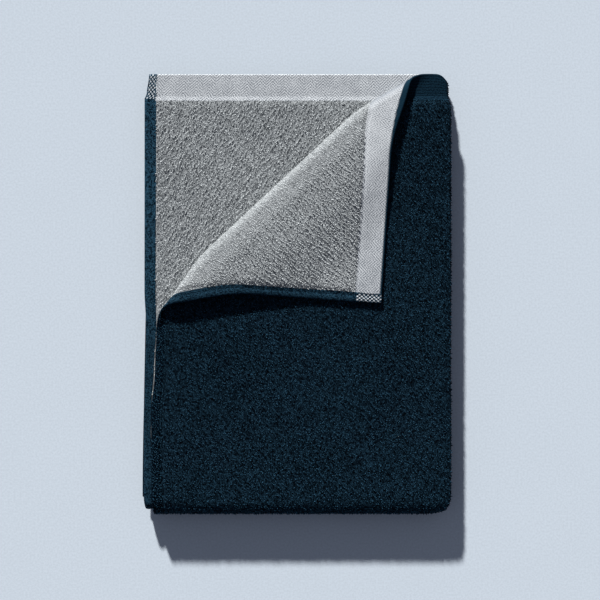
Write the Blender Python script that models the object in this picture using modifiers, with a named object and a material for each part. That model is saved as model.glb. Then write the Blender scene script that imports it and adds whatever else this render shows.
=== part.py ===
"""A bath towel in two-faced terry, folded in half along its length and in three across it.

One sheet of cloth is laid out flat, cut along its bends, carried through the folds and given its thickness.
The free end of the top layer has one corner turned back, so that the inner face shows.
Metres, +Z up. +X is the side of the long fold, +Y the side of the free end on top.
"""

import math
from collections import namedtuple

import bmesh
import bpy
import numpy as np

# The cloth as it is cut
WIDTH = 0.700
LENGTH = 1.500
SIDE_HEM = 0.012
END_BAND = 0.030
PILE_STARTS_OVER = 0.0025

# Thickness of the terry, and the share of it that the flat hems and bands keep
TERRY = 0.0046
FLAT_SHARE = 0.5
FLAT = TERRY * FLAT_SHARE

# The towel's own weight presses flat what lies lower than this
PRESSED_FLAT = 0.0001

# Six leaves of cloth lie on one another, a pitch apart
PITCH = 0.0058
HALF_PITCH = PITCH / 2
FOLD_ARC = math.pi * HALF_PITCH
OUTER_LEAF = 0.343

# Heights of the middle of the three doubled layers, and the radii of the two bends that join them
LOW_LAYER = TERRY / 2 + HALF_PITCH
TOP_LAYER = LOW_LAYER + 4 * PITCH
FRONT_RADIUS = 2 * PITCH
BACK_RADIUS = PITCH
FREE_END_Y = 0.2552
FRONT_Y = -0.2387
BACK_Y = 0.2390

# Distance along the cloth where each bend starts and ends
FRONT_START = FREE_END_Y - FRONT_Y
FRONT_END = FRONT_START + math.pi * FRONT_RADIUS
BACK_START = FRONT_END + BACK_Y - FRONT_Y
BACK_END = BACK_START + math.pi * BACK_RADIUS

# On the free end the flat bands lie close together and lower than the terry behind them
BAND_HALF_PITCH = 0.0015
BAND_DROP = 0.0031
BAND_SLOPE = 0.010

# How far each edge lies from the middle, for each section along the cloth
Section = namedtuple("Section", "along outer_edge inner_edge fold_edge")
SECTIONS = (
    Section(0.000, -0.1631, -0.1776, 0.1700),
    Section(0.026, -0.1631, -0.1776, 0.1706),
    Section(0.040, -0.1631, -0.1776, 0.1728),
    Section(0.250, -0.1631, -0.1777, 0.1730),
    Section(0.292, -0.1633, -0.1758, 0.1728),
    Section(0.341, -0.1650, -0.1772, 0.1726),
    Section(0.392, -0.1695, -0.1783, 0.1730),
    Section(0.487, -0.1692, -0.1786, 0.1730),
    Section(0.512, -0.1672, -0.1768, 0.1672),
    Section(0.560, -0.1702, -0.1754, 0.1712),
    Section(0.780, -0.1712, -0.1736, 0.1722),
    Section(1.005, -0.1730, -0.1700, 0.1708),
    Section(1.100, -0.1745, -0.1722, 0.1712),
    Section(1.500, -0.1800, -0.1812, 0.1702),
)

# The free end is drawn in at the long fold, and so is the front bend
CORNER_REACH = 0.014
CORNER_PULL = 0.0060
CORNER_PULL_OVER = 0.014
FRONT_REACH = 0.020
FRONT_PULL = 0.0030

# Slow waves of the leaves above the lowest, and how their free edges rise and fall, by doubled layer
Wave = namedtuple("Wave", "height edge_height along across edge_along phase")
TOP_WAVE = Wave(0.00015, 0.00020, 0.310, 0.230, 0.230, 0.6)
INNER_WAVE = Wave(0.00020, 0.00028, 0.270, 0.340, 0.230, 2.1)
EDGE_POWER = 8

# The corner turned back: its crease, seen from above, and the roll that the cloth makes there
CREASE_ANGLE = math.radians(43)
CREASE_OFFSET = -0.1081
CREASE_MIDDLE = 0.066
CREASE_HALF = 0.191
MOST_OFF = 1.15
CREASE_RECEDES = 0.0195
RECEDE_FROM = 0.57
RECEDE_OVER = 0.53
ROLL_RADIUS = 0.0078
ROLL_OPENS = 0.0026
ROLL_HEIGHT = 0.0126
ROLL_DIPS = 0.0075
DIP_FROM = 0.145
DIP_OVER = 0.085
FLAP_SLIDE = 0.0081
RETURN_SHARE = 0.40
END_PULL = (-0.0040, -0.0060)
PULL_OVER_ROLL = 0.030
PULL_OVER_FLAP = 0.034
PULL_OVER_END = 0.030
FLAP_REST = 0.0055
FALL_STARTS = 0.038
FALL_OVER = 0.080

# How finely the sheet is divided
CELL = 0.046
FOLD_STEPS = 6
FRONT_STEPS = 10
BACK_STEPS = 7
ROLL_FIRST = -0.023
ROLL_LAST = 0.031
ROLL_CUTS = 15
CROSS_CUTS = 7
CROSS_REACH = 0.050
CUT_SNAP = 0.0006
CUT_MERGE = 0.0014

NAME = "towel"


def eased(value):
    """0 below 0, 1 above 1 and smooth between them."""
    value = np.clip(value, 0.0, 1.0)
    return value * value * (3 - 2 * value)


def blended(at, stations, values):
    """Values at stations, with a smooth step from each to the next."""
    stations = np.array(stations)
    values = np.array(values)
    index = np.clip(np.searchsorted(stations, at, side="right") - 1, 0, len(stations) - 2)
    share = eased((at - stations[index]) / (stations[index + 1] - stations[index]))
    return values[index] + (values[index + 1] - values[index]) * share


def edge_at(along, column):
    """Where one edge of the cloth lies, from the table of sections."""
    return blended(along, [row.along for row in SECTIONS], [getattr(row, column) for row in SECTIONS])


def layer_path(along):
    """Middle line of the doubled cloth in the YZ plane, and the direction that faces out of the folds."""
    front_turn = np.clip((along - FRONT_START) / FRONT_RADIUS, 0, math.pi)
    back_turn = np.clip((along - BACK_START) / BACK_RADIUS, 0, math.pi)
    on_top = np.minimum(along, FRONT_START)
    on_low = np.clip(along - FRONT_END, 0, BACK_START - FRONT_END)
    on_inner = np.maximum(along - BACK_END, 0)
    y = FREE_END_Y - on_top - FRONT_RADIUS * np.sin(front_turn) + on_low
    y = y + BACK_RADIUS * np.sin(back_turn) - on_inner
    z = TOP_LAYER - FRONT_RADIUS * (1 - np.cos(front_turn)) + BACK_RADIUS * (1 - np.cos(back_turn))
    return y, z, np.sin(back_turn) - np.sin(front_turn), np.cos(front_turn + back_turn)


def wave(shape, along, x, share):
    """A slow wave over one doubled layer, and a rise and fall of its free edges."""
    rise = np.sin(2 * math.pi * along / shape.along + shape.phase)
    rise = rise * np.cos(2 * math.pi * x / shape.across + 2 * shape.phase)
    edge = share**EDGE_POWER * np.sin(2 * math.pi * along / shape.edge_along)
    return shape.height * rise + shape.edge_height * edge


def doubled(across, along):
    """The cloth folded in half and in three, before its corner is turned back."""
    band = 1 - eased((along - END_BAND + BAND_SLOPE / 2) / BAND_SLOPE)
    half_pitch = HALF_PITCH + (BAND_HALF_PITCH - HALF_PITCH) * band
    turn = np.clip((across - OUTER_LEAF) / FOLD_ARC, 0, 1) * math.pi
    inner = across > OUTER_LEAF + FOLD_ARC / 2
    edge = np.where(inner, edge_at(along, "inner_edge"), edge_at(along, "outer_edge"))
    leaf = np.where(inner, WIDTH - OUTER_LEAF - FOLD_ARC, OUTER_LEAF)
    gone = np.where(inner, across - OUTER_LEAF - FOLD_ARC, OUTER_LEAF - across)
    share = np.clip(gone / leaf, 0, 1)
    centre = edge_at(along, "fold_edge")
    x = centre - (centre - edge) * share + half_pitch * np.sin(turn)
    proud = half_pitch * np.cos(turn)

    y, z, out_y, out_z = layer_path(along)
    near_fold = np.clip((x - centre + CORNER_REACH) / CORNER_REACH, 0, 2)
    near_end = np.exp(-((along / CORNER_PULL_OVER) ** 2))
    at_front = np.clip((x - centre + FRONT_REACH) / FRONT_REACH, 0, 1)
    drawn_in = FRONT_PULL * np.maximum(-out_y, 0) * at_front**2 - CORNER_PULL * near_end * near_fold**3
    y = y + proud * out_y + drawn_in
    z = z + proud * out_z - BAND_DROP * band

    flatness = out_z * out_z
    hem = 1 - eased((np.minimum(across, WIDTH - across) - SIDE_HEM) / PILE_STARTS_OVER)
    sag = (TERRY - FLAT) / 2 * np.clip(hem * (1 - band), 0, 1) * flatness
    on_top = along < FRONT_START
    on_inner = along > BACK_END
    z = z - sag + on_top * wave(TOP_WAVE, along, x, share) + on_inner * wave(INNER_WAVE, along, x, share)
    return x, y, z, band


def corner_turned(x, y, z, across, along, band):
    """Rolls the top leaf over the slanting crease and lays its corner down on the cloth behind."""
    to_corner = np.array((-math.sin(CREASE_ANGLE), math.cos(CREASE_ANGLE)))
    uphill = np.array((math.cos(CREASE_ANGLE), math.sin(CREASE_ANGLE)))
    where = x * uphill[0] + y * uphill[1]
    off_middle = np.clip(np.abs(where - CREASE_MIDDLE) / CREASE_HALF, 0, MOST_OFF)
    radius = ROLL_RADIUS + ROLL_OPENS * off_middle**2
    recedes = CREASE_RECEDES * eased((off_middle - RECEDE_FROM) / RECEDE_OVER)
    start = -CREASE_OFFSET - radius - recedes
    past = x * to_corner[0] + y * to_corner[1] - start

    on_leaf = (across < OUTER_LEAF) & (along < FRONT_START)
    past = np.where(on_leaf, past, -1.0)
    rolled = past > 0
    angle = np.clip(past / radius, 0, math.pi)
    beyond = np.maximum(past - math.pi * radius, 0)
    lowered = eased((beyond - FALL_STARTS) / FALL_OVER)
    tall = ROLL_HEIGHT - ROLL_DIPS * eased((where - CREASE_MIDDLE - DIP_FROM) / DIP_OVER)
    height = tall / 2 * (1 - np.cos(angle)) + (FLAP_REST - tall) * lowered
    turning = eased(past / (math.pi * radius))
    reach = radius * np.sin(angle) - beyond + RETURN_SHARE * recedes * turning
    slide = FLAP_SLIDE * turning
    pull = eased(past / PULL_OVER_ROLL) * np.exp(-((beyond / PULL_OVER_FLAP) ** 2) - along / PULL_OVER_END)

    flat_x = x - past * to_corner[0]
    flat_y = y - past * to_corner[1]
    turned_x = flat_x + reach * to_corner[0] + slide * uphill[0] + END_PULL[0] * pull
    turned_y = flat_y + reach * to_corner[1] + slide * uphill[1] + END_PULL[1] * pull
    level = TOP_LAYER + HALF_PITCH
    band_rest = level - (TERRY - FLAT) / 2 * band
    turned_z = z + (band_rest - z) * turning * band + height
    return (
        np.where(rolled, turned_x, x),
        np.where(rolled, turned_y, y),
        np.where(rolled, turned_z, z),
    )


def folded(across, along):
    """Middle of the cloth in space, for each place across and along the flat sheet."""
    x, y, z, band = doubled(across, along)
    return corner_turned(x, y, z, across, along, band)


def pile_share(across, along):
    """1 where the cloth is terry and 0 on its flat hems and end bands."""
    from_side = np.minimum(across, WIDTH - across) - SIDE_HEM
    from_end = np.minimum(along, LENGTH - along) - END_BAND
    return eased(np.minimum(from_side, from_end) / PILE_STARTS_OVER)


def steps(start, end, count):
    return list(np.linspace(start, end, count + 1))


def cells(start, end):
    return steps(start, end, max(1, round((end - start) / CELL)))


def stations_across():
    hem = [0.0, SIDE_HEM, SIDE_HEM + PILE_STARTS_OVER]
    outer = cells(hem[-1], OUTER_LEAF - CORNER_REACH)
    fold = steps(OUTER_LEAF, OUTER_LEAF + FOLD_ARC, FOLD_STEPS)
    inner = cells(OUTER_LEAF + FOLD_ARC + CORNER_REACH, WIDTH - hem[-1])
    return np.unique(np.round(hem + outer + fold + inner + [WIDTH - place for place in hem], 6))


def stations_along():
    band = [0.0, END_BAND, END_BAND + PILE_STARTS_OVER, END_BAND + BAND_SLOPE / 2]
    top = cells(band[-1], FRONT_START)
    front = steps(FRONT_START, FRONT_END, FRONT_STEPS)
    low = cells(FRONT_END, BACK_START)
    back = steps(BACK_START, BACK_END, BACK_STEPS)
    inner = cells(BACK_END, LENGTH - END_BAND - PILE_STARTS_OVER)
    return np.unique(np.round(band + top + front + low + back + inner + [LENGTH - END_BAND, LENGTH], 6))


def flat_sheet():
    """The cloth laid flat, with X across it and Y along it, divided where it will bend."""
    across = stations_across()
    along = stations_along()
    sheet = bmesh.new()
    bmesh.ops.create_grid(sheet, x_segments=len(across) - 1, y_segments=len(along) - 1, size=1.0)
    for vert in sheet.verts:
        column = round((vert.co.x + 1) / 2 * (len(across) - 1))
        row = round((vert.co.y + 1) / 2 * (len(along) - 1))
        vert.co = (across[column], along[row], 0.0)
    return sheet


def on_flat_sheet(x, y):
    """Where a place seen from above lies on the flat sheet, on the top leaf."""
    return x - SECTIONS[0].outer_edge, FREE_END_Y - y


def slanting(past, where):
    """A place on the flat sheet, given past the crease and along it."""
    start = -CREASE_OFFSET - ROLL_RADIUS + past
    x = where * math.cos(CREASE_ANGLE) - start * math.sin(CREASE_ANGLE)
    y = where * math.sin(CREASE_ANGLE) + start * math.cos(CREASE_ANGLE)
    return on_flat_sheet(x, y)


def cut(sheet, place, normal, reach):
    """Cuts the faces of the top leaf whose middles lie within reach of the crease."""
    near = []
    crease = slanting(0, 0)
    for face in sheet.faces:
        middle = face.calc_center_median()
        off = (middle.x - crease[0]) * math.sin(CREASE_ANGLE)
        off += (middle.y - crease[1]) * math.cos(CREASE_ANGLE)
        if middle.x < OUTER_LEAF and middle.y < FRONT_START and abs(off) < reach:
            near.append(face)
    edges = list({edge for face in near for edge in face.edges})
    verts = list({vert for face in near for vert in face.verts})
    bmesh.ops.bisect_plane(
        sheet, geom=near + edges + verts, dist=CUT_SNAP, plane_co=(*place, 0), plane_no=(*normal, 0)
    )


def cut_for_roll(sheet):
    """Cuts the sheet along the slanting crease, and across it near its ends, where the roll bends away."""
    across_crease = (-math.sin(CREASE_ANGLE), -math.cos(CREASE_ANGLE))
    along_crease = (math.cos(CREASE_ANGLE), -math.sin(CREASE_ANGLE))
    for past in np.linspace(ROLL_FIRST, ROLL_LAST, ROLL_CUTS):
        cut(sheet, slanting(past, CREASE_MIDDLE), across_crease, LENGTH)
    for share in np.linspace(RECEDE_FROM, RECEDE_FROM + RECEDE_OVER, CROSS_CUTS):
        for side in (-1, 1):
            where = CREASE_MIDDLE + side * share * CREASE_HALF
            cut(sheet, slanting(0, where), along_crease, CROSS_REACH)
    widest = OUTER_LEAF - CORNER_REACH
    crossed = [vert for vert in sheet.verts if vert.co.x < widest and vert.co.y < FRONT_START]
    bmesh.ops.remove_doubles(sheet, verts=crossed, dist=CUT_MERGE)
    many_sided = [face for face in sheet.faces if len(face.verts) > 4]
    bmesh.ops.triangulate(sheet, faces=many_sided)


def carry_through_folds(sheet):
    """Moves every vertex to its place in the folded towel, and returns the share of pile at each."""
    sheet.verts.ensure_lookup_table()
    flat = np.array([vert.co for vert in sheet.verts])
    placed = np.stack(folded(flat[:, 0], flat[:, 1]), axis=1)
    for vert, place in zip(sheet.verts, placed):
        vert.co = place
    bmesh.ops.reverse_faces(sheet, faces=sheet.faces)
    return pile_share(flat[:, 0], flat[:, 1])


def terry_material():
    material = bpy.data.materials.new("navy_terry")
    material.use_nodes = True
    shader = material.node_tree.nodes["Principled BSDF"]
    shader.inputs["Base Color"].default_value = (0.010, 0.018, 0.030, 1.0)
    shader.inputs["Roughness"].default_value = 0.95
    shader.inputs["Metallic"].default_value = 0.0
    return material


def settled(obj):
    """Gives the sheet its thickness for good, with its base flat and its middle at the origin."""
    bpy.context.view_layer.update()
    thick = bpy.data.meshes.new_from_object(obj.evaluated_get(bpy.context.evaluated_depsgraph_get()))
    sheet = obj.data
    obj.modifiers.clear()
    obj.vertex_groups.clear()
    obj.data = thick
    bpy.data.meshes.remove(sheet)
    thick.name = NAME
    points = np.empty(len(thick.vertices) * 3, np.float32)
    thick.vertices.foreach_get("co", points)
    points = points.reshape(-1, 3)
    middle = (points.min(axis=0) + points.max(axis=0)) / 2
    points[:, :2] -= middle[:2]
    points[points[:, 2] < PRESSED_FLAT, 2] = 0.0
    thick.vertices.foreach_set("co", points.ravel())
    thick.update()


def towel(collection):
    """One solid: the whole cloth, with its thickness built out from both faces of the sheet."""
    sheet = flat_sheet()
    cut_for_roll(sheet)
    shares = carry_through_folds(sheet)
    mesh = bpy.data.meshes.new(NAME)
    sheet.to_mesh(mesh)
    sheet.free()
    obj = bpy.data.objects.new(NAME, mesh)
    collection.objects.link(obj)
    mesh.materials.append(terry_material())
    mesh.shade_smooth()

    pile = obj.vertex_groups.new(name="pile")
    for index, share in enumerate(shares):
        pile.add([index], float(share), "REPLACE")
    thickness = obj.modifiers.new("thickness", "SOLIDIFY")
    thickness.thickness = TERRY
    thickness.offset = 0.0
    thickness.vertex_group = pile.name
    thickness.thickness_vertex_group = FLAT_SHARE
    settled(obj)
    return obj


def main():
    for obj in list(bpy.data.objects):
        bpy.data.objects.remove(obj)
    collection = bpy.data.collections.new("bath_towel")
    bpy.context.scene.collection.children.link(collection)
    towel(collection)


main()
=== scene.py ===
import math

import bpy
import numpy as np
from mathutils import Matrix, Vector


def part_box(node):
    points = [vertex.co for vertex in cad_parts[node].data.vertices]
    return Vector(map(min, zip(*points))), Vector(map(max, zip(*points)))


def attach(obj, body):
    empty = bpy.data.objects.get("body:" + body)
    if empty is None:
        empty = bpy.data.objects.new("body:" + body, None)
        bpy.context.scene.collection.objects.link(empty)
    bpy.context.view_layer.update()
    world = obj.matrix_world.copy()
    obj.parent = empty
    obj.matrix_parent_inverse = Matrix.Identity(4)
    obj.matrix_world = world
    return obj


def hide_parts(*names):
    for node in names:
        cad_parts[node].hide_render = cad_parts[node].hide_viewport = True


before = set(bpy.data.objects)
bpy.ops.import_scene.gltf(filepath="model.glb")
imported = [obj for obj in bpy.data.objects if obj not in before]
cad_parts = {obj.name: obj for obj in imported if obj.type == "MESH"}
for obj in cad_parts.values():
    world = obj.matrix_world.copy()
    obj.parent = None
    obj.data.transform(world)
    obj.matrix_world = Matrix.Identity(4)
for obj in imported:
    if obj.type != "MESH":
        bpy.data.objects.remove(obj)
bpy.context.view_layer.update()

# The cloth as it is cut, in metres: u runs across it and v along it
cloth = {
    "width": 0.700,
    "length": 1.500,
    "sideHem": 0.012,
    "endBand": 0.030,
    "pileStart": 0.0025,
    "cell": 0.002,
    "decimals": 7,
}

# How the six leaves lie: the thickness of the terry, the space from leaf to leaf and the two bends in three
stack = {
    "terry": 0.0046,
    "flatShare": 0.5,
    "pitch": 0.0058,
    "outerLeaf": 0.343,
    "freeEndY": 0.2552,
    "frontY": -0.2387,
    "backY": 0.2390,
    "bandHalfPitch": 0.0015,
    "bandDrop": 0.0031,
    "bandSlope": 0.010,
    "cornerReach": 0.014,
    "cornerPull": 0.0060,
    "cornerPullOver": 0.014,
    "frontReach": 0.020,
    "frontPull": 0.0030,
    "edgePower": 8,
}

# For each section: its place along the cloth, then the outer leaf's edge, the inner leaf's and the long fold
sections = np.array((
    (0.000, -0.1631, -0.1724, 0.1700),
    (0.0235, -0.1631, -0.1752, 0.1705),
    (0.0275, -0.1631, -0.1776, 0.1706),
    (0.040, -0.1631, -0.1776, 0.1728),
    (0.250, -0.1631, -0.1777, 0.1730),
    (0.292, -0.1633, -0.1758, 0.1728),
    (0.341, -0.1650, -0.1772, 0.1726),
    (0.392, -0.1695, -0.1783, 0.1730),
    (0.487, -0.1692, -0.1786, 0.1730),
    (0.512, -0.1672, -0.1768, 0.1672),
    (0.560, -0.1702, -0.1754, 0.1712),
    (0.780, -0.1712, -0.1736, 0.1722),
    (1.005, -0.1730, -0.1700, 0.1708),
    (1.100, -0.1745, -0.1722, 0.1712),
    (1.500, -0.1800, -0.1812, 0.1702),
))

# Slow waves of the doubled layers above the lowest
topWave = {
    "height": 0.00015,
    "edgeHeight": 0.00020,
    "along": 0.310,
    "across": 0.230,
    "edgeAlong": 0.230,
    "phase": 0.6,
}
innerWave = {
    "height": 0.00020,
    "edgeHeight": 0.00028,
    "along": 0.270,
    "across": 0.340,
    "edgeAlong": 0.230,
    "phase": 2.1,
}

# The corner turned back: where its crease runs, the roll that the cloth makes there and how it falls to rest
corner = {
    "angle": math.radians(43),
    "offset": 0.1081,
    "middle": 0.066,
    "half": 0.191,
    "mostOff": 1.15,
    "recedes": 0.0195,
    "recedeFrom": 0.57,
    "recedeOver": 0.53,
    "radius": 0.0078,
    "opens": 0.0026,
    "height": 0.0126,
    "dips": 0.0075,
    "dipFrom": 0.145,
    "dipOver": 0.085,
    "slide": 0.0081,
    "returnShare": 0.40,
    "endPull": (-0.0040, -0.0060),
    "pullOverRoll": 0.030,
    "pullOverFlap": 0.034,
    "pullOverEnd": 0.030,
    "rest": 0.0055,
    "fallStarts": 0.038,
    "fallOver": 0.080,
}

halfPitch = stack["pitch"] / 2
foldArc = math.pi * halfPitch
lowLayer = stack["terry"] / 2 + halfPitch
topLayer = lowLayer + 4 * stack["pitch"]
frontRadius = 2 * stack["pitch"]
backRadius = stack["pitch"]
frontStart = stack["freeEndY"] - stack["frontY"]
frontEnd = frontStart + math.pi * frontRadius
backStart = frontEnd + stack["backY"] - stack["frontY"]
backEnd = backStart + math.pi * backRadius
flatHalf = stack["terry"] * stack["flatShare"] / 2
terryHalf = stack["terry"] / 2
toCorner = np.array((-math.sin(corner["angle"]), math.cos(corner["angle"])))
uphill = np.array((math.cos(corner["angle"]), math.sin(corner["angle"])))


# eased = 3t^2 - 2t^3, from 0 at t = 0 to 1 at t = 1
def eased(t):
    t = np.clip(t, 0.0, 1.0)
    return t * t * (3 - 2 * t)


# Values at stations, with an eased step from each to the next
def blended(at, stations, values):
    index = np.clip(np.searchsorted(stations, at, side="right") - 1, 0, len(stations) - 2)
    share = eased((at - stations[index]) / (stations[index + 1] - stations[index]))
    return values[index] + (values[index + 1] - values[index]) * share


# Middle line of the doubled cloth: straight runs joined by half circles,
# y = y0 -/+ R sin t and z = z0 + R (1 - cos t)
def layerPath(v):
    front = np.clip((v - frontStart) / frontRadius, 0, math.pi)
    back = np.clip((v - backStart) / backRadius, 0, math.pi)
    onTop = np.minimum(v, frontStart)
    onLow = np.clip(v - frontEnd, 0, backStart - frontEnd)
    onInner = np.maximum(v - backEnd, 0)
    y = stack["freeEndY"] - onTop - frontRadius * np.sin(front) + onLow + backRadius * np.sin(back) - onInner
    z = topLayer - frontRadius * (1 - np.cos(front)) + backRadius * (1 - np.cos(back))
    return y, z, np.sin(back) - np.sin(front), np.cos(front + back)


# height * sin(2 pi v / along) * cos(2 pi x / across), plus a rise and fall of the free edges
def layerWave(shape, v, x, share):
    rise = np.sin(2 * math.pi * v / shape["along"] + shape["phase"])
    rise = rise * np.cos(2 * math.pi * x / shape["across"] + 2 * shape["phase"])
    edge = share ** stack["edgePower"] * np.sin(2 * math.pi * v / shape["edgeAlong"])
    return shape["height"] * rise + shape["edgeHeight"] * edge


# The thin side hems sink to the leaf below: half of what the terry is thicker, where the cloth lies flat
def hemSag(u, band, outZ):
    hem = 1 - eased((np.minimum(u, cloth["width"] - u) - cloth["sideHem"]) / cloth["pileStart"])
    return (terryHalf - flatHalf) * np.clip(hem * (1 - band), 0, 1) * outZ * outZ


# The cloth folded in half and carried along the path in three. Across the towel x = c - (c - e) s + a sin t:
# c is the long fold, e the leaf's edge, s the share of the leaf and t the turn round the fold, from 0 to pi
def doubledCloth(u, v):
    band = 1 - eased((v - cloth["endBand"] + stack["bandSlope"] / 2) / stack["bandSlope"])
    apart = halfPitch + (stack["bandHalfPitch"] - halfPitch) * band
    turn = np.clip((u - stack["outerLeaf"]) / foldArc, 0, 1) * math.pi
    inner = u > stack["outerLeaf"] + foldArc / 2
    outerEdge, innerEdge, centre = (blended(v, sections[:, 0], sections[:, column]) for column in (1, 2, 3))
    edge = np.where(inner, innerEdge, outerEdge)
    leaf = np.where(inner, cloth["width"] - stack["outerLeaf"] - foldArc, stack["outerLeaf"])
    share = np.clip(np.where(inner, u - stack["outerLeaf"] - foldArc, stack["outerLeaf"] - u) / leaf, 0, 1)
    x = centre - (centre - edge) * share + apart * np.sin(turn)
    proud = apart * np.cos(turn)

    y, z, outY, outZ = layerPath(v)
    nearFold = np.clip((x - centre + stack["cornerReach"]) / stack["cornerReach"], 0, 2)
    atFront = np.clip((x - centre + stack["frontReach"]) / stack["frontReach"], 0, 1)
    cornerIn = stack["cornerPull"] * np.exp(-((v / stack["cornerPullOver"]) ** 2)) * nearFold**3
    drawnIn = stack["frontPull"] * np.maximum(-outY, 0) * atFront**2 - cornerIn
    y = y + proud * outY + drawnIn
    z = z + proud * outZ - stack["bandDrop"] * band
    z = z - hemSag(u, band, outZ)
    z = z + (v < frontStart) * layerWave(topWave, v, x, share)
    z = z + (v > backEnd) * layerWave(innerWave, v, x, share)
    return x, y, z, band


# How far a place has gone past the crease, with the roll's radius and how far the crease recedes there
def pastCrease(x, y):
    where = x * uphill[0] + y * uphill[1]
    off = np.clip(np.abs(where - corner["middle"]) / corner["half"], 0, corner["mostOff"])
    radius = corner["radius"] + corner["opens"] * off**2
    recedes = corner["recedes"] * eased((off - corner["recedeFrom"]) / corner["recedeOver"])
    past = x * toCorner[0] + y * toCorner[1] - (corner["offset"] - radius - recedes)
    return past, radius, recedes, where


# Past the crease the top leaf goes round half an ellipse, (r sin t, h (1 - cos t) / 2), then falls to rest
def clothMiddle(u, v):
    x, y, z, band = doubledCloth(u, v)
    past, radius, recedes, where = pastCrease(x, y)
    past = np.where((u < stack["outerLeaf"]) & (v < frontStart), past, -radius)
    angle = np.clip(past / radius, 0, math.pi)
    beyond = np.maximum(past - math.pi * radius, 0)
    lowered = eased((beyond - corner["fallStarts"]) / corner["fallOver"])
    dipped = eased((where - corner["middle"] - corner["dipFrom"]) / corner["dipOver"])
    tall = corner["height"] - corner["dips"] * dipped
    height = tall / 2 * (1 - np.cos(angle)) + (corner["rest"] - tall) * lowered
    turning = eased(past / (math.pi * radius))
    reach = radius * np.sin(angle) - beyond + corner["returnShare"] * recedes * turning - past
    slide = corner["slide"] * turning
    pull = eased(past / corner["pullOverRoll"])
    pull = pull * np.exp(-((beyond / corner["pullOverFlap"]) ** 2) - v / corner["pullOverEnd"])
    bandRest = topLayer + halfPitch - (terryHalf - flatHalf) * band
    rolled = past > 0
    x = x + rolled * (reach * toCorner[0] + slide * uphill[0] + corner["endPull"][0] * pull)
    y = y + rolled * (reach * toCorner[1] + slide * uphill[1] + corner["endPull"][1] * pull)
    z = z + rolled * ((bandRest - z) * turning * band + height)
    return np.stack((x, y, z), axis=-1)


# The solid's middle is the origin: half its box, found from the cloth's own rows and columns
def originSlide():
    spans = (cloth["width"], cloth["length"])
    u, v = np.meshgrid(*(np.linspace(0, span, round(span / cloth["cell"]) + 1) for span in spans))
    points = clothMiddle(u, v)
    low = np.array((points[..., 0].min(), points[..., 1].min() - terryHalf))
    high = np.array((points[..., 0].max() + terryHalf, points[..., 1].max()))
    box = np.array(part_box("towel"))
    return (low + high) / 2 - box[:, :2].mean(axis=0)


slideXY = originSlide()
print("cloth folded, slid by", np.round(slideXY * 1000, 2), "mm")


# Vectors of length 1
def unit(vectors):
    return vectors / np.maximum(np.linalg.norm(vectors, axis=-1, keepdims=True), 1e-12)


# Place and frame of the cloth: its middle, the direction across it and the normal out of the navy face
def clothFrame(u, v, step=0.0004):
    middle = clothMiddle(u, v)
    middle = middle - np.array((slideXY[0], slideXY[1], 0.0))
    across = clothMiddle(u + step, v) - clothMiddle(u - step, v)
    along = clothMiddle(u, v + step) - clothMiddle(u, v - step)
    normal = unit(np.cross(along, across))
    across = unit(across)
    return middle, across, normal


# Places at a height over the middle of the cloth, plus to the navy side and minus to the grey
def clothAt(u, v, height):
    middle, _, normal = clothFrame(u, v)
    return middle + normal * height[..., None]


# Puts arrays of points and faces into a mesh object that rides on the towel's one body
def meshPiece(name, points, faces, material, attributes, uv=None):
    mesh = bpy.data.meshes.new(name)
    faces = np.asarray(faces, np.int32)
    sides = faces.shape[1]
    mesh.vertices.add(len(points))
    mesh.vertices.foreach_set("co", np.asarray(points, np.float32).ravel())
    mesh.loops.add(faces.size)
    mesh.loops.foreach_set("vertex_index", faces.ravel())
    mesh.polygons.add(len(faces))
    mesh.polygons.foreach_set("loop_start", np.arange(0, faces.size, sides, dtype=np.int32))
    mesh.update(calc_edges=True)
    mesh.shade_smooth()
    for label, values in attributes.items():
        layer = mesh.attributes.new(label, "FLOAT", "POINT")
        layer.data.foreach_set("value", np.asarray(values, np.float32).ravel())
    if uv is not None:
        layer = mesh.uv_layers.new(name="cloth")
        layer.data.foreach_set("uv", np.asarray(uv, np.float32)[faces.ravel()].ravel())
    mesh.materials.append(material)
    mesh.validate()
    piece = bpy.data.objects.new(name, mesh)
    bpy.context.scene.collection.objects.link(piece)
    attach(piece, "root")
    return piece


# A closed shell over a grid of stations: one skin at the outer height, one at the inner, and a rim all round.
# A warp moves the stations across the cloth, and tints are further attributes worked out from (u, v)
def clothShell(name, acrossAt, alongAt, outerHeight, innerHeight, material, warp=None, tints=None):
    u, v = np.meshgrid(acrossAt, alongAt)
    if warp:
        u = warp(u, v)
    rows, columns = u.shape
    outer = clothAt(u, v, outerHeight(u, v)).reshape(-1, 3)
    inner = clothAt(u, v, -innerHeight(u, v)).reshape(-1, 3)
    index = np.arange(rows * columns).reshape(rows, columns)
    quads = np.stack((index[:-1, :-1], index[1:, :-1], index[1:, 1:], index[:-1, 1:]), axis=-1).reshape(-1, 4)
    count = rows * columns
    rim = np.concatenate((index[0, :], index[1:, -1], index[-1, -2::-1], index[-2:0:-1, 0]))
    ahead = np.roll(rim, -1)
    sides = np.stack((rim, ahead, ahead + count, rim + count), axis=-1)
    faces = np.concatenate((quads, quads[:, ::-1] + count, sides))
    side = np.concatenate((np.ones(count), -np.ones(count)))
    uv = np.tile(np.stack((u.ravel(), v.ravel()), axis=-1), (2, 1))
    attributes = {"side": side}
    for label, tint in (tints or {}).items():
        attributes[label] = np.tile(tint(u, v).ravel(), 2)
    return meshPiece(name, np.concatenate((outer, inner)), faces, material, attributes, uv)


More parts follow.
